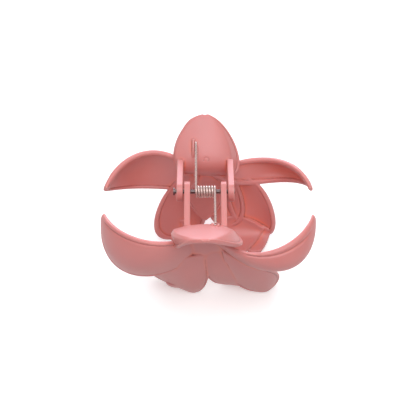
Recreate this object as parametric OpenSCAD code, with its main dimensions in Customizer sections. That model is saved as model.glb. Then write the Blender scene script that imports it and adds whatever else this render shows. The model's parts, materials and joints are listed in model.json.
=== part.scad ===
// Claw hair clip whose two jaws are open flowers. Each jaw is one moulding: an upright petal that is the
// thumb handle, two long side petals that curve round as claws, and three broad lower petals that hold
// the hair. The jaws turn on a steel pin through two pairs of lugs and a torsion spring closes them.
//
// The clip stands closed on its lower petals. X runs along the hinge pin, the front jaw is towards -Y
// and the back jaw towards +Y. The origin is on the ground, under the middle of the clip.

/* [Overall] */
// width over the tips of the side petals
jaw_w = 90; // [80:1:110]
// height of the pin above the ground
pin_z = 48; // [44:0.5:60]
// distance of the fullest part of a jaw from the pin
belly = 28; // [25:0.5:34]
// distance of a handle's tip from the pin, measured level
handle_reach = 36; // [33:0.5:45]
// height of a handle's tip above the pin
handle_rise = 10.7; // [7:0.5:14]
// gap between the tips of the side petals of the two jaws
tip_gap = 11; // [8:0.5:16]

/* [Shell] */
// thickness of the petals
wall = 1.9; // [1.4:0.1:2.4]
// thickness of the throat where the petals meet
throat_wall = 2.4; // [1.8:0.1:3]

/* [Hinge] */
// diameter of the pin
pin_d = 1.9; // [1.6:0.1:2.4]
// diameter of the pin's flat head
head_d = 3.3; // [2.8:0.1:4]
// thickness of the pin's flat head
head_t = 0.6; // [0.4:0.1:1]
// bare shaft between the head and the lug
head_gap = 0.8; // [0.4:0.1:1.2]
// length of pin that stands out of the far lug
pin_tail = 0.3; // [0.2:0.1:1]
// distance from the middle of one front lug to the middle of the other
inner_pitch = 15.4; // [14.6:0.1:16.4]
// thickness of each front lug
inner_lug_t = 2.5; // [2:0.1:2.8]
// thickness of each back lug
outer_lug_t = 2.7; // [2.2:0.1:3.4]
// side clearance between a front lug and the back lug beside it
lug_gap = 0.6; // [0.4:0.05:1]
// radius of the rounded lug ends
lug_r = 4.3; // [3.8:0.1:4.8]
// radial clearance of the pin in the front lugs
run_fit = 0.06; // [0.04:0.01:0.1]

/* [Spring] */
// wire diameter
wire_d = 1.05; // [0.9:0.05:1.2]
// outside diameter of the coil
coil_d = 5.4; // [5.2:0.1:6]
// full turns in the coil
coil_turns = 7; // [5:1:7]
// gap between neighbouring turns
turn_gap = 0.1; // [0.05:0.01:0.2]
// how far out the leg reaches along the back handle
back_leg = 25; // [22:0.5:28]
// how far out the leg reaches along the front handle
front_leg = 20.5; // [19.5:0.5:23]
// gap between a leg and the petal that it presses on
leg_gap = 0.2; // [0.1:0.01:0.3]

/* [Details] */
// width of the curled lobes where they face the other jaw's
curl_w = 4; // [3:0.1:6]
// gap between the facing lobes of the two jaws when the clip is closed
curl_gap = 0.8; // [0.6:0.1:2]
// height of the curled lobes above the ground
curl_lift = 1.6; // [1.3:0.1:3]
// height of the ribs that keep the spring legs in place
rib_h = 1.6; // [1:0.1:2.2]
// thickness of those ribs
rib_t = 1.0; // [0.8:0.1:1.4]

/* [Hidden] */
pink = [0.86, 0.52, 0.52];
spring_tone = [0.93, 0.82, 0.80];
steel = [0.62, 0.60, 0.60];
// the petals below are drawn at these sizes and stretched to the driving sizes
drawn_w = 90;
drawn_drop = 48;
drawn_belly = 28;
drawn_reach = 36;
drawn_rise = 10.7;
kx = jaw_w / drawn_w;
kz = pin_z / drawn_drop;
ko = belly / drawn_belly;
drawn_throat = 17.5;
throat_d = drawn_throat * ko;
// the right side petals reach further than the left ones, so the hinge sits left of the middle
hinge_at = [-1.2 * kx, 0, pin_z];
along = 18;
across = 10;
ridge_share = 0.6;
tight_fit = 0.01;
leg_side_gap = 0.15;
outer_pitch = inner_pitch + inner_lug_t + 2 * lug_gap + outer_lug_t;
outer_face = outer_pitch / 2 + outer_lug_t / 2;
coil_r = (coil_d - wire_d) / 2;
coil_half = coil_turns * (wire_d + turn_gap) / 2;
wire_sides = 8;
steps_per_turn = 16;

// ---- curves ----

function total(v, i = 0) = i == len(v) ? 0 : v[i] + total(v, i + 1);
function unit(v) = v / norm(v);
function choose(n, k) = k == 0 ? 1 : choose(n - 1, k - 1) * n / k;
function bezier(p, t) = let (n = len(p) - 1)
    [for (axis = [0:2]) total([for (i = [0:n]) choose(n, i) * pow(1 - t, n - i) * pow(t, i) * p[i][axis]])];

// A petal is given by curves from its root to its tip: one edge, the spine and the other edge, or one
// edge, a ridge, the spine, the other ridge and the other edge. Points are [sideways, outward, up] from
// the middle of the pin. A parabola crosses the spine, and straight flaps hang from the ridges.
function arch(a, m, b, s) = m + s * (b - a) / 2 + s * s * ((a + b) / 2 - m);
function skin_point(rails, t, s) =
    let (c = [for (rail = rails) bezier(rail, t)])
    len(c) == 3 ? arch(c[0], c[1], c[2], s)
    : abs(s) <= ridge_share ? arch(c[1], c[2], c[3], s / ridge_share)
    : let (hang = (abs(s) - ridge_share) / (1 - ridge_share))
      s < 0 ? c[1] + hang * (c[0] - c[1]) : c[3] + hang * (c[4] - c[3]);
function facing(rails, t, s) =
    let (h = 0.01,
         along_t = skin_point(rails, min(t + h, 1), s) - skin_point(rails, max(t - h, 0), s),
         along_s = skin_point(rails, t, min(s + h, 1)) - skin_point(rails, t, max(s - h, -1)))
    unit(cross(along_t, along_s));
// the wall thins towards its rim
function rim_share(i, j) = (j == 0 || j == across || i == along) ? 0.5 : 1;

// the wall of one petal, half its thickness on each side of its surface; pointed petals stop just short
// of their tips, where the curves meet
module petal(rails, thick = wall, last = 0.985) {
    row = across + 1;
    layer = (along + 1) * row;
    grid = [for (side = [1, -1]) for (i = [0:along]) for (j = [0:across])
        let (t = last * i / along, s = 2 * j / across - 1)
        skin_point(rails, t, s) + side * rim_share(i, j) * thick / 2 * facing(rails, t, s)];
    rim = concat([for (j = [0:across - 1]) j],
                 [for (i = [0:along - 1]) i * row + across],
                 [for (j = [across:-1:1]) along * row + j],
                 [for (i = [along:-1:1]) i * row]);
    polyhedron(grid, concat(
        [for (i = [0:along - 1]) for (j = [0:across - 1]) for (half = [0, 1])
            let (p = i * row + j) half == 1 ? [p, p + row + 1, p + row] : [p, p + 1, p + row + 1]],
        [for (i = [0:along - 1]) for (j = [0:across - 1]) for (half = [0, 1])
            let (p = layer + i * row + j) half == 1 ? [p, p + row, p + row + 1] : [p, p + row + 1, p + 1]],
        [for (k = [0:len(rim) - 1]) for (half = [0, 1])
            let (p = rim[k], q = rim[(k + 1) % len(rim)])
            half == 1 ? [p, p + layer, q + layer] : [p, q + layer, q]]));
}

// ---- the flower: outline curves of its petals, seen from outside with the handle up ----

// stretches the body's curves to the driving width, belly and height
function body(rail) = [for (p = rail) [p[0] * kx, p[1] * ko, p[2] * kz]];
function body3(rails) = [for (rail = rails) body(rail)];

// the handle keeps its own reach and rise beyond the throat
kr = (handle_reach - throat_d) / (drawn_reach - drawn_throat);
kh = handle_rise / drawn_rise;
function grip(rail) = [for (p = rail) [p[0] * kx, throat_d + (p[1] - drawn_throat) * kr, p[2] * kh]];
handle = [
    grip([[-10, 21, -10], [-13, 13.5, -4.5], [-9, 28, -19], [-16, 34.6, 10.2], [-0.4, 36.5, 10.6]]),
    grip([[-9, 21, -9.5], [-11.5, 13, -2.5], [-19.5, 24, -2], [-9.5, 34, 9.6], [-0.2, 36.6, 10.7]]),
    grip([[0, 20, -10], [0, 12, 0], [0, 24, 3], [0, 31.4, 8.1], [0, 36.7, 10.7]]),
    grip([[9, 21, -10.5], [11, 13, -3], [14, 24, -1], [6, 34, 9.6], [0.2, 36.6, 10.7]]),
    grip([[10, 21, -11], [13, 13, -5], [21, 26, -17], [11.5, 34.6, 9.1], [0.4, 36.5, 10.6]])];

// the side petals end on their tips, half the tip gap from the middle
function tip_at(x, z) = [x * kx, tip_gap / 2 + wall / 2, z * kz];
side_left = [
    concat(body([[-4, 17, -8], [-17, 33, 0], [-37, 25.5, 0]]), [tip_at(-43.3, -6)]),
    concat(body([[-3, 19, -12], [-16, 29, -14], [-30, 34, -13], [-43.5, 26, -15]]), [tip_at(-43.5, -6.4)]),
    concat(body([[-4, 19, -18], [-14, 24, -28], [-28, 29, -25], [-46, 25, -28]]), [tip_at(-43.6, -6.8)])];
side_right = [
    concat(body([[4, 18, -7], [20, 34, -13], [41, 26, -1.5]]), [tip_at(45.8, -6.5)]),
    concat(body([[3, 19, -7], [16, 28, -14], [33, 37, -18], [47, 27, -14]]), [tip_at(46, -6.9)]),
    concat(body([[2, 18, -8], [14, 20, -27], [30, 31, -23], [47, 25, -18.5]]), [tip_at(46.1, -7.3)])];
low_left = body3([
    [[-12, 24, -18], [-21, 24, -26], [-35, 1, -48], [-6.5, 16.5, -47.65]],
    [[-6, 22, -16], [-12, 25, -28], [-10, 20, -42], [-5.5, 16.8, -47.8]],
    [[2, 20, -18], [2, 20, -30], [1, 17, -44], [-4.5, 16.5, -47.65]]]);
low_middle = body3([
    [[-2, 20, -16], [-2, 21, -26], [1, 17, -40], [8, 16, -42.5]],
    [[6, 21, -14], [8, 24, -26], [9, 20, -38], [9, 16, -42.8]],
    [[14, 22, -16], [17, 23, -26], [24, 18, -43], [10, 16, -42.5]]]);
low_right = body3([
    [[7, 22, -12], [10, 23, -24], [9, 16, -45], [25, 16.5, -47.65]],
    [[14, 24, -16], [20, 26, -28], [27, 20, -40], [26.5, 16.8, -47.8]],
    [[20, 25, -18], [32, 24, -24], [36.5, 8, -44], [28, 16.5, -47.65]]]);
throat = body3([
    [[-13, 21.5, -3], [-12, 24, -12], [-12, 20, -28], [-0.6, 15.9, -37]],
    [[0, 18.8, -3], [0, 22, -12], [0, 20, -28], [-0.3, 15.6, -37.4]],
    [[13, 21.5, -3.5], [12, 24, -12], [13, 19, -30], [0, 15.9, -37]]]);

// lobes of the low petals curl in along the ground, level from the wrist to the end
function curl(root, knee, wrist, end, lift) =
    let (level = lift - pin_z)
    concat(body([root, knee]), [[wrist[0] * kx, wrist[1] * ko, level], [end[0] * kx, end[1], level]]);
stop = curl_gap / 2;
bowl_lift = curl_lift + 0.8;
lobe_lift = wall / 2 + 0.3;
curl_left = [
    curl([-17, 16, -41], [-17, 14, -48], [-14, 8], [-10 - curl_w / 2, stop], curl_lift),
    curl([-14, 18.6, -40], [-14, 16.9, -48], [-12.5, 8], [-10, stop], curl_lift),
    curl([-8, 18.4, -40], [-8, 16.9, -48], [-10, 8], [-10 + curl_w / 2, stop], curl_lift)];
bowl = [
    curl([8, 17.5, -38], [8, 16, -47], [9, 9], [14 - curl_w / 2, stop], bowl_lift),
    curl([17, 19, -38], [17, 16.5, -48], [16, 9], [14, stop], bowl_lift),
    curl([28, 16, -43], [27, 16, -47.5], [24, 10], [14 + curl_w / 2, stop], bowl_lift)];
outer_lobe = [
    curl([18, 18, -42], [18, 16, -48], [18, 9], [20, 5], lobe_lift),
    curl([25, 18, -42], [25, 16, -48.5], [23, 9], [23, 4], lobe_lift),
    curl([31, 15, -43], [30, 14, -47.5], [29, 9], [26, 5], lobe_lift)];

// where an arm of the spring meets a handle: share of the handle's length at an outward distance
function share_at(out, lo = 0, hi = 1, n = 24) =
    let (mid = (lo + hi) / 2)
    n == 0 ? mid
    : skin_point(handle, mid, 0)[1] < out ? share_at(out, mid, hi, n - 1) : share_at(out, lo, mid, n - 1);
function side_share(t, x) = 2 * x / (bezier(handle[3], t)[0] - bezier(handle[1], t)[0]) * ridge_share;
function on_handle(out, x, lift) =
    let (t = share_at(out), s = side_share(t, x), n = facing(handle, t, s))
    skin_point(handle, t, s) + lift * (n[2] < 0 ? -n : n);
function slope_at(out) = let (d = on_handle(out + 0.5, 0, 0) - on_handle(out - 0.5, 0, 0)) atan2(d[2], d[1]);

leg_lift = wall / 2 + leg_gap + wire_d / 2;
back_tip = on_handle(back_leg, -coil_half, leg_lift);
front_tip = on_handle(front_leg, coil_half, leg_lift);
// an arm leaves the top of the coil in a straight line to its tip
function arm_tilt(tip) = atan2(tip[2], tip[1]) - asin(coil_r / norm([tip[1], tip[2]]));

// ---- pieces of a jaw ----

module petals() {
    resize([jaw_w, 0, 0])
    union() {
        petal(handle);
        petal(side_left);
        petal(side_right);
        petal(low_left);
        petal(low_middle);
        petal(low_right);
        petal(throat, throat_wall);
        petal(curl_left, last = 1);
        petal(bowl, last = 1);
        petal(outer_lobe, last = 1);
    }
}

// a rib that stands on the handle's inner face beside an arm of the spring
module rib(out, x, length) {
    foot = on_handle(out, x, 0);
    translate([x, foot[1], foot[2]])
    rotate([slope_at(out), 0, 0])
    translate([-rib_t / 2, -length / 2, 0])
    cube([rib_t, length, wall / 2 + rib_h]);
}

// a flat arm from the throat to a rounded end around the pin
module lug(x, thick, root) {
    translate([x - thick / 2, 0, 0])
    rotate([90, 0, 90])
    linear_extrude(thick)
    union() {
        circle(lug_r, $fn = 64);
        polygon([[0, lug_r], [root - 2.6, -0.5], [root, -9.5 * kz], [0, -lug_r]]);
    }
}

// cuts the bore for the pin right through a jaw
module bored(bore) {
    difference() {
        children();
        rotate([0, 90, 0])
        cylinder(h = 4 * outer_face, d = bore, center = true, $fn = 64);
    }
}

// ---- nodes ----

module back_jaw() {
    arm_side = coil_half + wire_d / 2 + leg_side_gap + rib_t / 2;
    color(pink)
    translate(hinge_at)
    bored(pin_d + 2 * tight_fit)
    union() {
        petals();
        rib(back_leg - 2.5, -arm_side, 7);
        for (side = [-1, 1])
            lug(side * outer_pitch / 2, outer_lug_t, throat_d + 5);
    }
}

module front_jaw() {
    arm_side = wire_d / 2 + leg_side_gap + rib_t / 2;
    color(pink)
    translate(hinge_at)
    mirror([0, 1, 0])
    bored(pin_d + 2 * run_fit)
    union() {
        petals();
        for (side = [-1, 1])
            rib(front_leg - 0.5, coil_half + side * arm_side, 3.4);
        for (side = [-1, 1])
            lug(side * inner_pitch / 2, inner_lug_t, throat_d + 3.6);
    }
}

module torsion_spring() {
    back_tilt = arm_tilt(back_tip);
    front_tilt = arm_tilt(front_tip);
    sweep_angle = 360 * coil_turns - back_tilt - front_tilt;
    steps = coil_turns * steps_per_turn;
    coil = [for (i = [0:steps])
        let (turn = 90 + back_tilt + sweep_angle * i / steps)
        [coil_half * (2 * i / steps - 1), coil_r * cos(turn), coil_r * sin(turn)]];
    path = concat([[-coil_half, back_tip[1], back_tip[2]]], coil, [[coil_half, -front_tip[1], front_tip[2]]]);
    count = len(path);
    ring = [for (i = [0:count - 1])
        let (ahead = unit(path[min(i + 1, count - 1)] - path[max(i - 1, 0)]),
             side = unit(cross(ahead, [1, 0, 0])),
             up = cross(ahead, side))
        for (k = [0:wire_sides - 1])
            let (a = 360 * k / wire_sides)
            path[i] + wire_d / 2 * (cos(a) * side + sin(a) * up)];
    skin = [for (i = [0:count - 2]) for (k = [0:wire_sides - 1]) for (half = [0, 1])
        let (p = i * wire_sides + k, q = i * wire_sides + (k + 1) % wire_sides)
        half == 1 ? [p, p + wire_sides, q + wire_sides] : [p, q + wire_sides, q]];
    color(spring_tone)
    translate(hinge_at)
    polyhedron(ring, concat(skin,
        [[for (k = [0:wire_sides - 1]) k]],
        [[for (k = [wire_sides - 1:-1:0]) (count - 1) * wire_sides + k]]));
}

module hinge_pin() {
    color(steel)
    translate(hinge_at)
    rotate([0, 90, 0])
    union() {
        translate([0, 0, -outer_face - head_gap])
        cylinder(h = 2 * outer_face + head_gap + pin_tail, d = pin_d, $fn = 64);
        translate([0, 0, -outer_face - head_gap - head_t])
        cylinder(h = head_t + 0.05, d = head_d, $fn = 64);
    }
}

back_jaw();
front_jaw();
torsion_spring();
hinge_pin();
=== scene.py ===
"""Looks of a flower-shaped claw hair clip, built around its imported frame.

The clip stands closed on its lower petals, with the hinge pin along X and the front jaw towards -Y.
Every shape is worked out in millimetres from the middle of the pin, in a jaw's own terms: sideways,
outward and up.
"""

from __future__ import annotations

import json
import logging
import math
from dataclasses import dataclass, field
from enum import Enum

import bmesh
import bpy
import numpy as np
from mathutils import Matrix, Vector

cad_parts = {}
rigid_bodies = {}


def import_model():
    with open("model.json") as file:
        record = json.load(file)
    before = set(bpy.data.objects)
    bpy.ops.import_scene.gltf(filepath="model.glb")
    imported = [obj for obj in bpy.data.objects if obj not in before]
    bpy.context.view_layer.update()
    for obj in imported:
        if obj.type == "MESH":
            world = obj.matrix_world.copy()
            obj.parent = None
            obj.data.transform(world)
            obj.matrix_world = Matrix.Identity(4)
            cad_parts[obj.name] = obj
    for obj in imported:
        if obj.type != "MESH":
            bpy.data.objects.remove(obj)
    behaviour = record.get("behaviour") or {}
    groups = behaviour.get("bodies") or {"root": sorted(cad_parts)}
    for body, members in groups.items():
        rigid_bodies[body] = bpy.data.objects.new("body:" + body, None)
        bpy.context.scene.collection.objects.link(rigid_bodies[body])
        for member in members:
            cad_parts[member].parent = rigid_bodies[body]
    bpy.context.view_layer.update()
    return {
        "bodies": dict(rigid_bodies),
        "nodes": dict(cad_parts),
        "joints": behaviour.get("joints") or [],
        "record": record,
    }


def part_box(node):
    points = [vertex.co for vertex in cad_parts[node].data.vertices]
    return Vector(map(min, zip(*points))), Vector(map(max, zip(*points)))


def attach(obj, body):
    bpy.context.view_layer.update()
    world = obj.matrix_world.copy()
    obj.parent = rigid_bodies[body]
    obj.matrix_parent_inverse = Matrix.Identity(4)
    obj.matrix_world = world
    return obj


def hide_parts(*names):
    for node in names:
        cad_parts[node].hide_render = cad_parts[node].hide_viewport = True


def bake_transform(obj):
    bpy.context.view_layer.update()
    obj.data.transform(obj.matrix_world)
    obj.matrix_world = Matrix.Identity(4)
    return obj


LOG = logging.getLogger("claw_clip")
MM = 0.001
HINGE_X = -1.2
MIX_FIRST, MIX_SECOND, MIX_RESULT = 6, 7, 2
FINE_ROUNDS, FINE_BLUR = 8, 3
BROAD_ROUNDS, BROAD_BLUR = 120, 12
# Thresholds of the masks for painted shade in creases, painted highlight on edges and painted glow in
# recesses.
CREASE_SHADE_FROM, CREASE_SHADE_SPAN = 0.02, 0.07
EDGE_HIGHLIGHT_FROM, EDGE_HIGHLIGHT_SPAN = 0.05, 0.16
RECESS_GLOW_FROM, RECESS_GLOW_SPAN = 0.02, 0.5
Point = tuple[float, float, float]
Rail = list[Point]
Shape = tuple[np.ndarray, list[tuple[int, ...]]]


class Side(Enum):
    """Which jaw: its CAD node, its body and the way it faces along Y."""

    FRONT = ("front_jaw", "front", -1.0)
    BACK = ("back_jaw", "back", 1.0)

    @property
    def node(self) -> str:
        """Name of the CAD node."""
        return self.value[0]

    @property
    def body(self) -> str:
        """Name of the body that the jaw moves with."""
        return self.value[1]

    @property
    def way(self) -> float:
        """Sign of Y that points out of the clip on this side."""
        return self.value[2]


# ---- shader maths ----


class Socket:
    """One output of a node tree, with Python operators that add Math nodes."""

    def __init__(self, shader: "Shader", link: bpy.types.NodeSocket) -> None:
        """Keeps the tree and the socket."""
        self.shader = shader
        self.link = link

    def _math(self, operation: str, *values: "Socket | float") -> "Socket":
        """Adds a Math node.

        Args:
            operation: the Math node's operation.
            values: its inputs, in order.

        Returns:
            The node's value.
        """
        inputs = dict(enumerate(values))
        return self.shader.node("ShaderNodeMath", {"operation": operation}, inputs)

    def __add__(self, other: "Socket | float") -> "Socket":
        """Sum."""
        return self._math("ADD", self, other)

    def __radd__(self, other: float) -> "Socket":
        """Sum, number first."""
        return self._math("ADD", other, self)

    def __sub__(self, other: "Socket | float") -> "Socket":
        """Difference."""
        return self._math("SUBTRACT", self, other)

    def __rsub__(self, other: float) -> "Socket":
        """Difference, number first."""
        return self._math("SUBTRACT", other, self)

    def __mul__(self, other: "Socket | float") -> "Socket":
        """Product."""
        return self._math("MULTIPLY", self, other)

    def __rmul__(self, other: float) -> "Socket":
        """Product, number first."""
        return self._math("MULTIPLY", other, self)

    def clamped(self) -> "Socket":
        """The value held between 0 and 1."""
        return self._math("MINIMUM", self._math("MAXIMUM", self, 0.0), 1.0)


class Shader:
    """A material's node tree, built from its Principled BSDF."""

    def __init__(self, name: str) -> None:
        """Makes an empty material with its Principled BSDF.

        Args:
            name: the material's name.
        """
        self.material = bpy.data.materials.new(name)
        self.material.use_nodes = True
        self.tree = self.material.node_tree
        self.surface = self.tree.nodes["Principled BSDF"]

    def node(
        self,
        kind: str,
        settings: dict | None = None,
        inputs: dict | None = None,
        out: int | str = 0,
    ) -> Socket:
        """Adds any node.

        Args:
            kind: the node's type.
            settings: attributes that are set first; "stops" fills a ramp with (place, colour) pairs.
            inputs: socket name or number to a value or a Socket.
            out: which output is wanted.

        Returns:
            That output.
        """
        made = self.tree.nodes.new(kind)
        for key, value in (settings or {}).items():
            if key == "stops":
                elements = made.color_ramp.elements
                for i, (place, colour) in enumerate(value):
                    stop = elements[i] if i < 2 else elements.new(place)
                    stop.position = place
                    stop.color = (*colour, 1.0)
            else:
                setattr(made, key, value)
        for key, value in (inputs or {}).items():
            self._feed(made.inputs[key], value)
        return Socket(self, made.outputs[out])

    def _feed(self, socket: bpy.types.NodeSocket, value: "Socket | float | tuple") -> None:
        """Links a Socket to an input, or sets the input's own value.

        Args:
            socket: the input.
            value: what it gets.
        """
        if isinstance(value, Socket):
            self.tree.links.new(value.link, socket)
        else:
            socket.default_value = value

    def mix(self, factor: "Socket | float", first: "Socket | tuple", second: "Socket | tuple") -> Socket:
        """Mixes two colours.

        Args:
            factor: 0 for the first and 1 for the second.
            first: a colour.
            second: a colour.

        Returns:
            The mixed colour.
        """
        inputs = {"Factor": factor, MIX_FIRST: first, MIX_SECOND: second}
        return self.node("ShaderNodeMix", {"data_type": "RGBA"}, inputs, out=MIX_RESULT)

    def attribute(self, name: str) -> Socket:
        """A value that the mesh carries at each vertex."""
        return self.node("ShaderNodeAttribute", {"attribute_name": name}, out="Fac")

    def noise(self, scale: float, detail: float = 2.0, roughness: float = 0.5) -> Socket:
        """Noise over the piece's own space.

        Args:
            scale: features per metre.
            detail: octaves.
            roughness: strength of the finer octaves.

        Returns:
            A value around 0.5.
        """
        place = self.node("ShaderNodeTexCoord", out="Object")
        inputs = {"Vector": place, "Scale": scale, "Detail": detail, "Roughness": roughness}
        return self.node("ShaderNodeTexNoise", inputs=inputs)

    def set(self, **values: "Socket | float | tuple") -> None:
        """Sets inputs of the Principled BSDF.

        Args:
            values: what each input gets; an underscore in its name stands for a space.
        """
        for key, value in values.items():
            self._feed(self.surface.inputs[key.replace("_", " ")], value)

    def bump(self, height: Socket, strength: float, distance: float) -> None:
        """Feeds a Bump node to the surface's normal.

        Args:
            height: the height in units of distance.
            strength: how much of it shows.
            distance: height of 1, in metres.
        """
        inputs = {"Height": height, "Strength": strength, "Distance": distance}
        self.set(Normal=self.node("ShaderNodeBump", inputs=inputs))


@dataclass(frozen=True)
class MouldedPlastic:
    """Satin, slightly translucent moulded plastic, with painted glow in recesses, painted shade in creases
    and painted highlights on edges.
    """

    name: str = "salmon_plastic"
    colour: Point = (0.66, 0.225, 0.208)
    cloudy: Point = (0.70, 0.248, 0.228)
    # Painted glow: a brighter orange-red laid into broad hollows.
    recess: Point = (0.92, 0.22, 0.12)
    # Painted shade: a near-black red laid into concave creases.
    crease: Point = (0.22, 0.040, 0.038)
    # Painted highlight: a pale colour laid onto convex edges.
    rim: Point = (0.84, 0.50, 0.42)
    edge_highlight_share: float = 0.7
    crease_shade_share: float = 0.75
    gloss: float = 0.44
    gloss_change: float = 0.12
    shine: float = 0.8
    shine_tint: tuple[float, ...] = (0.96, 0.9, 1.0, 1.0)
    glow: float = 0.35
    glow_spread: Point = (1.0, 0.36, 0.3)
    depth: float = 0.0025
    cloud_scale: float = 70.0
    grain_scale: float = 2600.0
    grain_strength: float = 0.12
    grain_height: float = 0.00004

    def make(self) -> bpy.types.Material:
        """Makes the plastic, whose colour takes painted glow, painted shade and painted highlights from the
        masks that a jaw's mesh carries.

        Returns:
            The material.
        """
        shader = Shader(self.name)
        cloud = shader.noise(self.cloud_scale, 3.0)
        grain = shader.noise(self.grain_scale, 3.0, 0.6)
        # Masks for painted light, baked into the mesh.
        recess_glow_mask = shader.attribute("recess")
        fold = shader.attribute("fold")
        edge = shader.attribute("edge")
        colour = shader.mix((cloud * 2.2 - 0.6).clamped(), (*self.colour, 1.0), (*self.cloudy, 1.0))
        # Painted glow in recesses.
        colour = shader.mix(recess_glow_mask, colour, (*self.recess, 1.0))
        # Painted highlight on convex edges.
        colour = shader.mix(edge * self.edge_highlight_share, colour, (*self.rim, 1.0))
        # Painted shade in creases.
        colour = shader.mix(fold * self.crease_shade_share, colour, (*self.crease, 1.0))
        shader.set(
            Base_Color=colour,
            Roughness=self.gloss + (cloud - 0.5) * self.gloss_change,
            Specular_IOR_Level=self.shine,
            Specular_Tint=self.shine_tint,
            Subsurface_Weight=self.glow,
            Subsurface_Radius=self.glow_spread,
            Subsurface_Scale=self.depth,
        )
        shader.bump(grain, self.grain_strength, self.grain_height)
        return shader.material


@dataclass(frozen=True)
class CoatedWire:
    """Pale coat on spring wire."""

    name: str = "spring_coat"
    colour: Point = (0.80, 0.60, 0.56)
    worn: Point = (0.60, 0.42, 0.39)
    metallic: float = 0.6
    gloss: float = 0.2
    gloss_change: float = 0.15
    wear_scale: float = 900.0

    def make(self) -> bpy.types.Material:
        """Makes the finish.

        Returns:
            The material.
        """
        shader = Shader(self.name)
        wear = shader.noise(self.wear_scale, 4.0, 0.6)
        shader.set(
            Base_Color=shader.mix((wear * 3.0 - 1.1).clamped(), (*self.colour, 1.0), (*self.worn, 1.0)),
            Metallic=self.metallic,
            Roughness=self.gloss + wear * self.gloss_change,
        )
        return shader.material


@dataclass(frozen=True)
class DrawnSteel:
    """Plain steel wire."""

    name: str = "pin_steel"
    colour: Point = (0.17, 0.13, 0.13)
    gloss: float = 0.25
    gloss_change: float = 0.2
    grain_scale: float = 1500.0

    def make(self) -> bpy.types.Material:
        """Makes the finish.

        Returns:
            The material.
        """
        shader = Shader(self.name)
        drawn = shader.noise(self.grain_scale, 3.0, 0.7)
        shader.set(
            Base_Color=(*self.colour, 1.0),
            Metallic=1.0,
            Roughness=self.gloss + drawn * self.gloss_change,
        )
        return shader.material


# ---- shapes ----


def bezier(rail: Rail, t: np.ndarray) -> np.ndarray:
    """Points of a Bezier curve.

    Args:
        rail: its control points.
        t: shares of its length, from 0 to 1.

    Returns:
        One point for each share.
    """
    points = np.array(rail, float)
    n = len(points) - 1
    t = np.asarray(t, float)[..., None]
    return sum(math.comb(n, i) * (1 - t) ** (n - i) * t**i * points[i] for i in range(n + 1))


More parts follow.
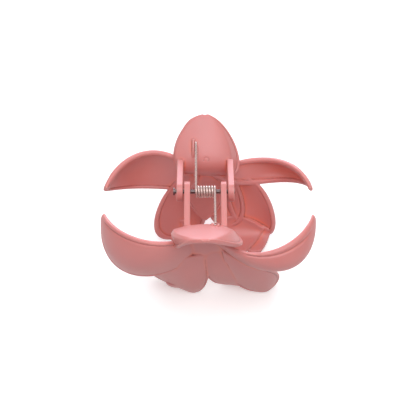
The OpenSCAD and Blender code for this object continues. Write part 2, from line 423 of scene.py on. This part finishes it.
@dataclass(frozen=True)
class Petal:
    """A petal's wall between two edge curves, over its spine."""

    rails: tuple[Rail, ...]
    wall: float = 1.9
    last: float = 0.985
    ridge_share: float = 0.6
    rim_width: float = 1.3
    rim_height: float = 0.3
    rim_slope: float = 0.3
    rim_thinnest: float = 0.3
    crease_depth: float = 0.4
    crease_inset: float = 0.25
    crease_width: float = 0.3
    plain_root: float = 0.12
    root_fade: float = 0.15
    plain_width: float = 3.0

    def at(self, t: np.ndarray, s: np.ndarray) -> np.ndarray:
        """Points of the middle surface.

        Args:
            t: shares from root to tip.
            s: -1 on the first edge, 0 on the spine, 1 on the second edge.

        Returns:
            Points, [sideways, outward, up].
        """
        curves = [bezier(rail, t) for rail in self.rails]
        s = np.asarray(s, float)[..., None]
        if len(curves) == 3:
            return self.arch(*curves, s)
        edge, ridge, spine, other_ridge, other_edge = curves
        hang = (np.abs(s) - self.ridge_share) / (1 - self.ridge_share)
        flap = np.where(s < 0, ridge + hang * (edge - ridge), other_ridge + hang * (other_edge - other_ridge))
        return np.where(hang <= 0, self.arch(ridge, spine, other_ridge, s / self.ridge_share), flap)

    @staticmethod
    def arch(a: np.ndarray, m: np.ndarray, b: np.ndarray, s: np.ndarray) -> np.ndarray:
        """The parabola that crosses three curves, at s from -1 to 1."""
        return m + s * (b - a) / 2 + s * s * ((a + b) / 2 - m)

    def facing(self, t: np.ndarray, s: np.ndarray) -> np.ndarray:
        """Unit normals of the middle surface.

        Args:
            t: shares from root to tip.
            s: places from edge to edge, as for at().

        Returns:
            One normal for each place.
        """
        h = 0.004
        along = self.at(np.minimum(t + h, 1), s) - self.at(np.maximum(t - h, 0), s)
        across = self.at(t, np.minimum(s + h, 1)) - self.at(t, np.maximum(s - h, -1))
        normal = np.cross(along, across)
        return normal / np.linalg.norm(normal, axis=-1, keepdims=True)

    def solid(self, rows: int = 110, columns: int = 76) -> Shape:
        """The wall as a closed mesh, with a rolled rim and a crease inside it.

        Args:
            rows: steps from root to tip.
            columns: steps from edge to edge.

        Returns:
            Vertices and faces.
        """
        t = self.last * np.linspace(0, 1, rows + 1)
        s = np.sin(np.linspace(-math.pi / 2, math.pi / 2, columns + 1))
        tt, ss = np.meshgrid(t, s, indexing="ij")
        middle, normal = self.at(tt, ss), self.facing(tt, ss)
        width = np.linalg.norm(self.at(t, np.ones_like(t)) - self.at(t, -np.ones_like(t)), axis=-1) / 2
        edge = (1 - np.abs(ss)) * width[:, None]
        length = np.linalg.norm(np.diff(self.at(t, 0 * t), axis=0), axis=-1)
        to_tip = (np.append(np.cumsum(length[::-1])[::-1], 0.0))[:, None] + 0 * ss
        half = self.wall / 2
        inset = np.minimum(edge, to_tip)
        bow = 1 - (1 - np.clip(inset / half, 0, 1)) ** 2
        round_off = np.sqrt(np.clip(bow, self.rim_thinnest**2, 1))
        roll = self.rim_height * np.clip((self.rim_width - inset) / self.rim_slope, 0, 1) * round_off
        groove = (inset - self.rim_width - self.crease_inset) / self.crease_width
        crease = self.crease_depth * np.exp(-(groove**2))
        fade = np.clip((tt - self.plain_root) / self.root_fade, 0, 1)
        fade = fade * np.clip((width[:, None] - self.plain_width) / self.plain_width, 0, 1)
        offset = normal * (half * round_off + fade * (roll - crease))[..., None]
        grid = np.concatenate([(middle + offset).reshape(-1, 3), (middle - offset).reshape(-1, 3)])
        row, layer = columns + 1, (rows + 1) * (columns + 1)
        faces = []
        for i in range(rows):
            for j in range(columns):
                p = i * row + j
                faces.append((p, p + row, p + row + 1, p + 1))
                faces.append((layer + p, layer + p + 1, layer + p + row + 1, layer + p + row))
        rim = list(range(columns))
        rim += [i * row + columns for i in range(rows)]
        rim += [rows * row + j for j in range(columns, 0, -1)]
        rim += [i * row for i in range(rows, 0, -1)]
        for p, q in zip(rim, rim[1:] + rim[:1]):
            faces.append((p, q, q + layer, p + layer))
        return grid, faces


def new_object(name: str, vertices: np.ndarray, faces: list[tuple[int, ...]]) -> bpy.types.Object:
    """Makes a mesh object.

    Args:
        name: the piece's name.
        vertices: points in metres.
        faces: vertex numbers.

    Returns:
        The object, linked to the scene.
    """
    mesh = bpy.data.meshes.new(name)
    mesh.from_pydata([tuple(v) for v in vertices], [], faces)
    mesh.validate()
    made = bpy.data.objects.new(name, mesh)
    bpy.context.collection.objects.link(made)
    return made


def join(name: str, parts: list[Shape]) -> Shape:
    """Puts several closed meshes into one list of vertices and faces.

    Args:
        name: what is joined, for the log.
        parts: vertices and faces of each.

    Returns:
        All vertices and all faces.
    """
    vertices, faces, start = [], [], 0
    for points, polygons in parts:
        vertices.append(points)
        faces += [tuple(start + k for k in polygon) for polygon in polygons]
        start += len(points)
    LOG.info("%s: %d closed parts, %d faces", name, len(parts), len(faces))
    return np.concatenate(vertices), faces


def prism(outline: np.ndarray, x0: float, x1: float) -> Shape:
    """A closed outline in the outward-up plane, drawn out sideways.

    Args:
        outline: its points, [outward, up].
        x0: where it starts.
        x1: where it ends.

    Returns:
        Vertices and faces.
    """
    n = len(outline)
    near = np.column_stack([np.full(n, x0), outline])
    far = np.column_stack([np.full(n, x1), outline])
    faces = [(k, (k + 1) % n, n + (k + 1) % n, n + k) for k in range(n)]
    faces += [tuple(range(n))[::-1], tuple(range(n, 2 * n))]
    return np.concatenate([near, far]), faces


def apply_modifier(obj: bpy.types.Object, kind: str, **settings: object) -> None:
    """Adds one modifier and applies it.

    Args:
        obj: the mesh object.
        kind: the modifier's type.
        settings: its attributes.
    """
    modifier = obj.modifiers.new(kind.lower(), kind)
    for key, value in settings.items():
        setattr(modifier, key, value)
    graph = bpy.context.evaluated_depsgraph_get()
    mesh = bpy.data.meshes.new_from_object(obj.evaluated_get(graph))
    obj.modifiers.clear()
    old, obj.data = obj.data, mesh
    bpy.data.meshes.remove(old)


def vertex_array(obj: bpy.types.Object) -> np.ndarray:
    """A mesh's vertices as an array.

    Args:
        obj: the mesh object.

    Returns:
        One row for each vertex.
    """
    flat = np.empty(3 * len(obj.data.vertices))
    obj.data.vertices.foreach_get("co", flat)
    return flat.reshape(-1, 3)


def set_vertices(obj: bpy.types.Object, points: np.ndarray) -> None:
    """Moves a mesh's vertices."""
    obj.data.vertices.foreach_set("co", points.ravel())
    obj.data.update()


def mark(obj: bpy.types.Object) -> None:
    """Gives a mesh the masks for painted light, from how hollow it is at two scales: painted shade in
    creases, painted highlight on convex edges and painted glow in recesses.

    Args:
        obj: the mesh object.
    """
    data = obj.data
    points = vertex_array(obj)
    normals = np.empty(3 * len(points))
    data.vertices.foreach_get("normal", normals)
    normals = normals.reshape(-1, 3)
    ends = np.empty(2 * len(data.edges), dtype=np.int64)
    data.edges.foreach_get("vertices", ends)
    start, stop = ends.reshape(-1, 2).T
    count = np.bincount(start, minlength=len(points)) + np.bincount(stop, minlength=len(points))

    def spread(values: np.ndarray) -> np.ndarray:
        """Moves each value halfway to its neighbours' mean.

        Args:
            values: one row for each vertex.

        Returns:
            The new rows.
        """
        out = np.empty_like(values)
        for k in range(values.shape[1]):
            near = np.bincount(start, values[stop, k], len(points))
            near += np.bincount(stop, values[start, k], len(points))
            out[:, k] = near / count
        return 0.5 * (out + values)

    blurred = points
    hollow = {}
    for step in range(1, BROAD_ROUNDS + 1):
        blurred = spread(blurred)
        if step in (FINE_ROUNDS, BROAD_ROUNDS):
            hollow[step] = ((blurred - points) * normals).sum(axis=1, keepdims=True) / MM
    fine, broad = hollow[FINE_ROUNDS], hollow[BROAD_ROUNDS]
    for _ in range(FINE_BLUR):
        fine = spread(fine)
    for _ in range(BROAD_BLUR):
        broad = spread(broad)
    # Painted shade in fine hollows, painted highlight on fine bumps, painted glow in broad hollows.
    painted_light_masks = {
        "fold": (fine - CREASE_SHADE_FROM) / CREASE_SHADE_SPAN,
        "edge": (-fine - EDGE_HIGHLIGHT_FROM) / EDGE_HIGHLIGHT_SPAN,
        "recess": (broad - RECESS_GLOW_FROM) / RECESS_GLOW_SPAN,
    }
    for name, values in painted_light_masks.items():
        layer = data.attributes.new(name, "FLOAT", "POINT")
        layer.data.foreach_set("value", np.clip(values[:, 0], 0, 1).astype(np.float32))


def dress(obj: bpy.types.Object, material: bpy.types.Material) -> bpy.types.Object:
    """Gives a piece its material and slot, with smooth shading.

    Args:
        obj: the piece.
        material: its material.

    Returns:
        The piece.
    """
    obj.data.materials.clear()
    obj.data.materials.append(material)
    for polygon in obj.data.polygons:
        polygon.use_smooth = True
    return obj


# ---- sub-assemblies ----


@dataclass
class Flower:
    """The petals that both jaws share, seen from outside with the handle up."""

    wall: float = 1.9
    throat_wall: float = 2.4
    tip: float = 6.45
    stop: float = 0.4
    ground: float = -48.0
    curl_lift: float = 1.6
    bowl_lift: float = 2.4
    lobe_lift: float = 1.25
    handle: Petal = field(init=False)
    petals: list[Petal] = field(init=False)

    def __post_init__(self) -> None:
        """Draws the petals."""
        self.handle = self.petal(
            [(-10, 21, -10), (-13, 13.5, -4.5), (-9, 28, -19), (-16, 34.6, 10.2), (-0.4, 36.5, 10.6)],
            [(-9, 21, -9.5), (-11.5, 13, -2.5), (-19.5, 24, -2), (-9.5, 34, 9.6), (-0.2, 36.6, 10.7)],
            [(0, 20, -10), (0, 12, 0), (0, 24, 3), (0, 31.4, 8.1), (0, 36.7, 10.7)],
            [(9, 21, -10.5), (11, 13, -3), (14, 24, -1), (6, 34, 9.6), (0.2, 36.6, 10.7)],
            [(10, 21, -11), (13, 13, -5), (21, 26, -17), (11.5, 34.6, 9.1), (0.4, 36.5, 10.6)],
        )
        side_left = self.petal(
            [(-4, 17, -8), (-17, 33, 0), (-37, 25.5, 0), (-43.3, self.tip, -6)],
            [(-3, 19, -12), (-16, 29, -14), (-30, 34, -13), (-43.5, 26, -15), (-43.5, self.tip, -6.4)],
            [(-4, 19, -18), (-14, 24, -28), (-28, 29, -25), (-46, 25, -28), (-43.6, self.tip, -6.8)],
        )
        side_right = self.petal(
            [(4, 18, -7), (20, 34, -13), (41, 26, -1.5), (45.8, self.tip, -6.5)],
            [(3, 19, -7), (16, 28, -14), (33, 37, -18), (47, 27, -14), (46, self.tip, -6.9)],
            [(2, 18, -8), (14, 20, -27), (30, 31, -23), (47, 25, -18.5), (46.1, self.tip, -7.3)],
        )
        low_left = self.petal(
            [(-12, 24, -18), (-21, 24, -26), (-35, 1, -48), (-6.5, 16.5, -47.65)],
            [(-6, 22, -16), (-12, 25, -28), (-10, 20, -42), (-5.5, 16.8, -47.8)],
            [(2, 20, -18), (2, 20, -30), (1, 17, -44), (-4.5, 16.5, -47.65)],
        )
        low_middle = self.petal(
            [(-2, 20, -16), (-2, 21, -26), (1, 17, -40), (8, 16, -42.5)],
            [(6, 21, -14), (8, 24, -26), (9, 20, -38), (9, 16, -42.8)],
            [(14, 22, -16), (17, 23, -26), (24, 18, -43), (10, 16, -42.5)],
        )
        low_right = self.petal(
            [(7, 22, -12), (10, 23, -24), (9, 16, -45), (25, 16.5, -47.65)],
            [(14, 24, -16), (20, 26, -28), (27, 20, -40), (26.5, 16.8, -47.8)],
            [(20, 25, -18), (32, 24, -24), (36.5, 8, -44), (28, 16.5, -47.65)],
        )
        throat = self.petal(
            [(-13, 21.5, -3), (-12, 24, -12), (-12, 20, -28), (-0.6, 15.9, -37)],
            [(0, 18.8, -3), (0, 22, -12), (0, 20, -28), (-0.3, 15.6, -37.4)],
            [(13, 21.5, -3.5), (12, 24, -12), (13, 19, -30), (0, 15.9, -37)],
            wall=self.throat_wall,
        )
        stop = self.stop
        curl, cup = self.ground + self.curl_lift, self.ground + self.bowl_lift
        lobe = self.ground + self.lobe_lift
        curl_left = self.petal(
            [(-17, 16, -41), (-17, 14, -48), (-14, 8, curl), (-12, stop, curl)],
            [(-14, 18.6, -40), (-14, 16.9, -48), (-12.5, 8, curl), (-10, stop, curl)],
            [(-8, 18.4, -40), (-8, 16.9, -48), (-10, 8, curl), (-8, stop, curl)],
            last=1.0,
        )
        bowl = self.petal(
            [(8, 17.5, -38), (8, 16, -47), (9, 9, cup), (12, stop, cup)],
            [(17, 19, -38), (17, 16.5, -48), (16, 9, cup), (14, stop, cup)],
            [(28, 16, -43), (27, 16, -47.5), (24, 10, cup), (16, stop, cup)],
            last=1.0,
        )
        outer_lobe = self.petal(
            [(18, 18, -42), (18, 16, -48), (18, 9, lobe), (20, 5, lobe)],
            [(25, 18, -42), (25, 16, -48.5), (23, 9, lobe), (23, 4, lobe)],
            [(31, 15, -43), (30, 14, -47.5), (29, 9, lobe), (26, 5, lobe)],
            last=1.0,
        )
        self.petals = [self.handle, side_left, side_right, low_left, low_middle, low_right, throat]
        self.petals += [curl_left, bowl, outer_lobe]

    def on_handle(self, out: float, x: float, lift: float) -> np.ndarray:
        """A place over the handle's inner face.

        Args:
            out: outward distance from the pin.
            x: sideways distance from the middle.
            lift: height over the middle of the wall.

        Returns:
            The point, [sideways, outward, up].
        """
        petal = self.handle
        shares = np.linspace(0.15, 1, 2000)
        t = shares[np.abs(petal.at(shares, 0 * shares)[:, 1] - out).argmin()]
        s = petal.ridge_share * 2 * x / (bezier(petal.rails[3], t)[0] - bezier(petal.rails[1], t)[0])
        normal = petal.facing(np.array(t), np.array(s))
        return petal.at(np.array(t), np.array(s)) + lift * normal * math.copysign(1, normal[2])

    def petal(self, *rails: Rail, wall: float | None = None, last: float = 0.985) -> Petal:
        """Makes one petal; a lobe that runs to the end of its curves has no rim.

        Args:
            rails: its curves, from one edge to the other.
            wall: its thickness, if it isn't the flower's own.
            last: the share of the curves' length where it ends.

        Returns:
            The petal.
        """
        if last == 1.0:
            return Petal(rails, wall or self.wall, last, rim_height=0.0, crease_depth=0.0)
        return Petal(rails, wall or self.wall, last)


@dataclass(frozen=True)
class Gate:
    """The moulding gate's mark: a small dot in a ring."""

    share: float = 0.305
    aside: float = 0.4
    dot_height: float = 0.28
    dot_r: float = 0.35
    ring_depth: float = 0.3
    ring_r: float = 1.15
    ring_width: float = 0.22
    skin: float = 0.2


@dataclass
class Jaw:
    """One moulded jaw."""

    side: Side
    flower: Flower
    hinge: Vector
    lug_pitch: float
    lug_thick: float
    lug_root: float
    ribs: tuple[Point, ...]
    lug_r: float = 4.3
    nose_from: float = 262.0
    nose_to: float = 90.0
    nose_steps: int = 40
    lug_shoulder: float = 2.6
    shoulder_drop: float = 0.5
    foot_drop: float = 9.5
    voxel: float = 0.26
    rib_thick: float = 1.0
    rib_height: float = 1.6
    rib_steps: int = 15
    gate: Gate = Gate()

    def lug(self, x: float) -> Shape:
        """One lug, drawn out from its side's outline.

        Args:
            x: its middle's place sideways.

        Returns:
            A closed mesh.
        """
        around = np.radians(np.linspace(self.nose_from, self.nose_to, self.nose_steps))
        nose = np.column_stack([self.lug_r * np.cos(around), self.lug_r * np.sin(around)])
        shoulder = [self.lug_root - self.lug_shoulder, -self.shoulder_drop]
        arm = np.array([shoulder, [self.lug_root, -self.foot_drop]])
        outline = np.concatenate([nose, arm])
        return prism(outline[::-1], x - self.lug_thick / 2, x + self.lug_thick / 2)

    def rib(self, out: float, x: float, length: float) -> Shape:
        """A rib that stands on the handle's inner face beside an arm of the spring.

        Args:
            out: its middle's outward distance from the pin.
            x: its place sideways.
            length: its length along the handle.

        Returns:
            A closed mesh.
        """
        root, crown = [], []
        for share in np.linspace(-0.5, 0.5, self.rib_steps):
            foot = self.flower.on_handle(out + share * length, x, 0.0)
            height = self.flower.wall / 2 + self.rib_height * math.sqrt(max(0.0, 1 - (2 * share) ** 4))
            root.append(foot[1:])
            crown.append(foot[1:] + np.array([0.0, height]))
        return prism(np.array(root + crown[::-1]), x - self.rib_thick / 2, x + self.rib_thick / 2)

    def stamp(self, obj: bpy.types.Object) -> None:
        """Presses the moulding gate's ring and dot into the handle's inner face.

        Args:
            obj: the jaw's mesh object.
        """
        gate, half = self.gate, self.flower.wall / 2
        share = np.array(gate.share)
        spot = self.flower.handle.at(share, 0 * share) * np.array([1, self.side.way, 1])
        points = vertex_array(obj) / MM - np.array(self.hinge) / MM
        reach = np.linalg.norm(points - spot - np.array([gate.aside, 0, half]), axis=1)
        dot = gate.dot_height * np.exp(-((reach / gate.dot_r) ** 2))
        ring = -gate.ring_depth * np.exp(-(((reach - gate.ring_r) / gate.ring_width) ** 2))
        ring *= points[:, 2] > spot[2] + half - gate.skin
        points[:, 2] += dot + ring
        set_vertices(obj, points * MM + np.array(self.hinge))

    def build(self, material: bpy.types.Material) -> bpy.types.Object:
        """Moulds the jaw as one skin.

        Args:
            material: the plastic.

        Returns:
            The piece.
        """
        parts = [petal.solid() for petal in self.flower.petals]
        for sign in (-1, 1):
            parts.append(self.lug(sign * self.lug_pitch / 2))
        for out, x, length in self.ribs:
            parts.append(self.rib(out, x, length))
        vertices, faces = join(self.side.node, parts)
        vertices = vertices * np.array([1, self.side.way, 1]) * MM + np.array(self.hinge)
        obj = new_object(self.side.node.replace("jaw", "flower"), vertices, faces)
        mesh = bmesh.new()
        mesh.from_mesh(obj.data)
        bmesh.ops.recalc_face_normals(mesh, faces=mesh.faces)
        mesh.to_mesh(obj.data)
        mesh.free()
        apply_modifier(obj, "REMESH", mode="VOXEL", voxel_size=self.voxel * MM, adaptivity=0.0)
        apply_modifier(obj, "SMOOTH", factor=0.5, iterations=3)
        self.stamp(obj)
        # Bakes the masks for painted shade in creases, painted highlight on edges and painted glow in
        # recesses.
        mark(obj)
        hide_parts(self.side.node)
        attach(obj, self.side.body)
        dress(obj, material)
        LOG.info("%s: %d faces", obj.name, len(obj.data.polygons))
        return obj


@dataclass
class Spring:
    """The torsion spring: a coil on the pin and two straight arms."""

    hinge: Vector
    flower: Flower
    wire: float = 1.05
    coil: float = 5.4
    turns: int = 7
    gap: float = 0.1
    back_arm: float = 25.0
    front_arm: float = 20.5
    lift: float = 1.675
    steps_per_turn: int = 40
    arm_points: int = 12
    sides: int = 16
    end_rings: int = 4
    end_length: float = 0.6
    end_r: float = 0.02

    def path(self) -> np.ndarray:
        """The wire's middle line.

        Returns:
            Points from the back arm's tip to the front arm's.
        """
        radius = (self.coil - self.wire) / 2
        half = self.turns * (self.wire + self.gap) / 2
        tips = [
            self.flower.on_handle(self.back_arm, -half, self.lift),
            self.flower.on_handle(self.front_arm, half, self.lift),
        ]
        tilts = []
        for tip in tips:
            reach = math.hypot(tip[1], tip[2])
            tilts.append(math.atan2(tip[2], tip[1]) - math.asin(radius / reach))
        steps = self.turns * self.steps_per_turn
        sweep = 2 * math.pi * self.turns - tilts[0] - tilts[1]
        turn = math.pi / 2 + tilts[0] + sweep * np.linspace(0, 1, steps + 1)
        x = np.linspace(-half, half, steps + 1)
        coil = np.column_stack([x, radius * np.cos(turn), radius * np.sin(turn)])
        share = np.linspace(0, 1, self.arm_points)[:, None]
        back_tip = np.array([-half, tips[0][1], tips[0][2]])
        front_tip = np.array([half, -tips[1][1], tips[1][2]])
        back = back_tip + (coil[0] - back_tip) * share[:-1]
        front = coil[-1] + (front_tip - coil[-1]) * share[1:]
        return np.concatenate([back, coil, front])

    def build(self, material: bpy.types.Material) -> bpy.types.Object:
        """Sweeps the wire along its path.

        Args:
            material: the coat.

        Returns:
            The piece.
        """
        path = self.path()
        ahead = np.gradient(path, axis=0)
        ahead /= np.linalg.norm(ahead, axis=1, keepdims=True)
        side = np.cross(ahead, [1.0, 0, 0])
        side /= np.linalg.norm(side, axis=1, keepdims=True)
        up = np.cross(ahead, side)
        sides, radius = self.sides, self.wire / 2
        rings = [(path[i], side[i], up[i], radius) for i in range(len(path))]
        for angle in np.linspace(0, math.pi / 2, self.end_rings + 1)[1:]:
            past, r = radius * self.end_length * math.sin(angle), radius * math.cos(angle)
            rings.insert(0, (path[0] - ahead[0] * past, side[0], up[0], r))
            rings.append((path[-1] + ahead[-1] * past, side[-1], up[-1], r))
        around = 2 * math.pi * np.arange(sides) / sides
        points = []
        for middle, u, v, r in rings:
            r = max(r, self.end_r)
            points += [middle + r * (math.cos(a) * u + math.sin(a) * v) for a in around]
        faces = []
        for i in range(len(rings) - 1):
            for k in range(sides):
                p, q = i * sides + k, i * sides + (k + 1) % sides
                faces.append((p, p + sides, q + sides, q))
        faces.append(tuple(range(sides)))
        faces.append(tuple(range(len(points) - sides, len(points)))[::-1])
        vertices = np.array(points) * MM + np.array(self.hinge)
        obj = new_object("wound_spring", vertices, faces)
        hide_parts("torsion_spring")
        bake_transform(obj)
        LOG.info("%s: %d turns, %d faces", obj.name, self.turns, len(faces))
        return dress(obj, material)


@dataclass
class Pin:
    """The steel hinge pin, which stays the CAD's own piece."""

    def build(self, frame: dict, material: bpy.types.Material) -> bpy.types.Object:
        """Dresses the CAD pin.

        Args:
            material: the steel.

        Returns:
            The piece.
        """
        obj = frame["nodes"]["hinge_pin"]
        obj.data.materials.clear()
        obj.data.materials.append(material)
        LOG.info("%s: dressed in %s", obj.name, material.name)
        return obj


@dataclass(frozen=True)
class Softbox:
    """A square area light: its name, place in metres, side, power in watts and tone."""

    name: str
    place: Point
    size: float
    power: float
    tone: Point = (1.0, 1.0, 1.0)


@dataclass
class Studio:
    """Pale floor, soft lights and the camera."""

    aim: Vector
    elevation: float = 48.0
    distance: float = 0.42
    view_width: float = 170.2128
    look_left: float = 2.2979
    look_down: float = 3.617
    sensor: float = 36.0
    nearest: float = 0.01
    floor_half: float = 3.0
    floor_tone: float = 0.93
    floor_gloss: float = 0.9
    floor_shine: float = 0.1
    floor_glow: float = 0.3
    sky: float = 0.42
    boxes: tuple[Softbox, ...] = (
        Softbox("top", (-0.1, 0.0, 0.9), 1.0, 1.6),
        Softbox("back", (0.0, 0.85, 0.3), 0.7, 6.5, (0.86, 0.88, 1.0)),
        Softbox("front", (0.1, -0.35, 0.9), 0.9, 5.5),
    )

    def floor(self) -> None:
        """Lays a plain pale floor under the clip."""
        material = bpy.data.materials.new("studio_floor")
        material.use_nodes = True
        surface = material.node_tree.nodes["Principled BSDF"]
        surface.inputs["Base Color"].default_value = (*[self.floor_tone] * 3, 1)
        surface.inputs["Roughness"].default_value = self.floor_gloss
        surface.inputs["Specular IOR Level"].default_value = self.floor_shine
        surface.inputs["Emission Color"].default_value = (1, 1, 1, 1)
        surface.inputs["Emission Strength"].default_value = self.floor_glow
        half = self.floor_half
        vertices = np.array([(-half, -half, 0), (half, -half, 0), (half, half, 0), (-half, half, 0)])
        obj = new_object("studio_floor", vertices, [(0, 1, 2, 3)])
        obj.data.materials.append(material)
        obj.visible_diffuse = False

    def light(self, box: Softbox) -> None:
        """Adds an area light that faces the clip.

        Args:
            box: which light.
        """
        data = bpy.data.lights.new(box.name, "AREA")
        data.size = box.size
        data.energy = box.power
        data.color = box.tone
        obj = bpy.data.objects.new(box.name, data)
        obj.location = box.place
        obj.rotation_euler = (self.aim - Vector(box.place)).to_track_quat("-Z", "Y").to_euler()
        bpy.context.collection.objects.link(obj)

    def camera(self, hinge: Vector) -> None:
        """Places the camera over the front, a little left of the pin's middle and below it.

        Args:
            hinge: the middle of the pin.
        """
        e = math.radians(self.elevation)
        forward = Vector((0, math.cos(e), -math.sin(e)))
        up = Vector((0, math.sin(e), math.cos(e)))
        right = Vector((1, 0, 0))
        place = hinge - forward * self.distance
        place -= right * (self.look_left * MM) + up * (self.look_down * MM)
        data = bpy.data.cameras.new("camera")
        data.sensor_width = self.sensor
        data.lens = self.sensor * self.distance / (self.view_width * MM)
        data.clip_start = self.nearest
        obj = bpy.data.objects.new("camera", data)
        obj.matrix_world = Matrix.Translation(place) @ Matrix((right, up, -forward)).transposed().to_4x4()
        bpy.context.collection.objects.link(obj)
        bpy.context.scene.camera = obj

    def build(self, hinge: Vector) -> None:
        """Sets up the whole studio.

        Args:
            hinge: the middle of the pin.
        """
        self.floor()
        for box in self.boxes:
            self.light(box)
        world = bpy.data.worlds.new("studio")
        world.use_nodes = True
        background = world.node_tree.nodes["Background"]
        background.inputs["Color"].default_value = (1, 1, 1, 1)
        background.inputs["Strength"].default_value = self.sky
        scene = bpy.context.scene
        scene.world = world
        scene.view_settings.view_transform = "Standard"
        self.camera(hinge)


def main() -> None:
    """Builds the clip and its studio."""
    logging.basicConfig(level=logging.INFO, format="%(name)s %(message)s")
    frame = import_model()
    low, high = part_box("hinge_pin")
    hinge = Vector((HINGE_X * MM, (low[1] + high[1]) / 2, (low[2] + high[2]) / 2))
    flower = Flower()
    plastic = MouldedPlastic().make()
    back = Jaw(
        Side.BACK, flower, hinge, lug_pitch=21.8, lug_thick=2.7, lug_root=22.5, ribs=((22.5, -5.2, 7.0),)
    )
    front_ribs = ((20.0, 2.85, 3.4), (20.0, 5.2, 3.4))
    front = Jaw(
        Side.FRONT, flower, hinge, lug_pitch=15.4, lug_thick=2.5, lug_root=21.1, ribs=front_ribs
    )
    for jaw in (back, front):
        jaw.build(plastic)
    Spring(hinge, flower).build(CoatedWire().make())
    Pin().build(frame, DrawnSteel().make())
    Studio(Vector((0, 0, 0.025))).build(hinge)


if __name__ == "__main__":
    main()
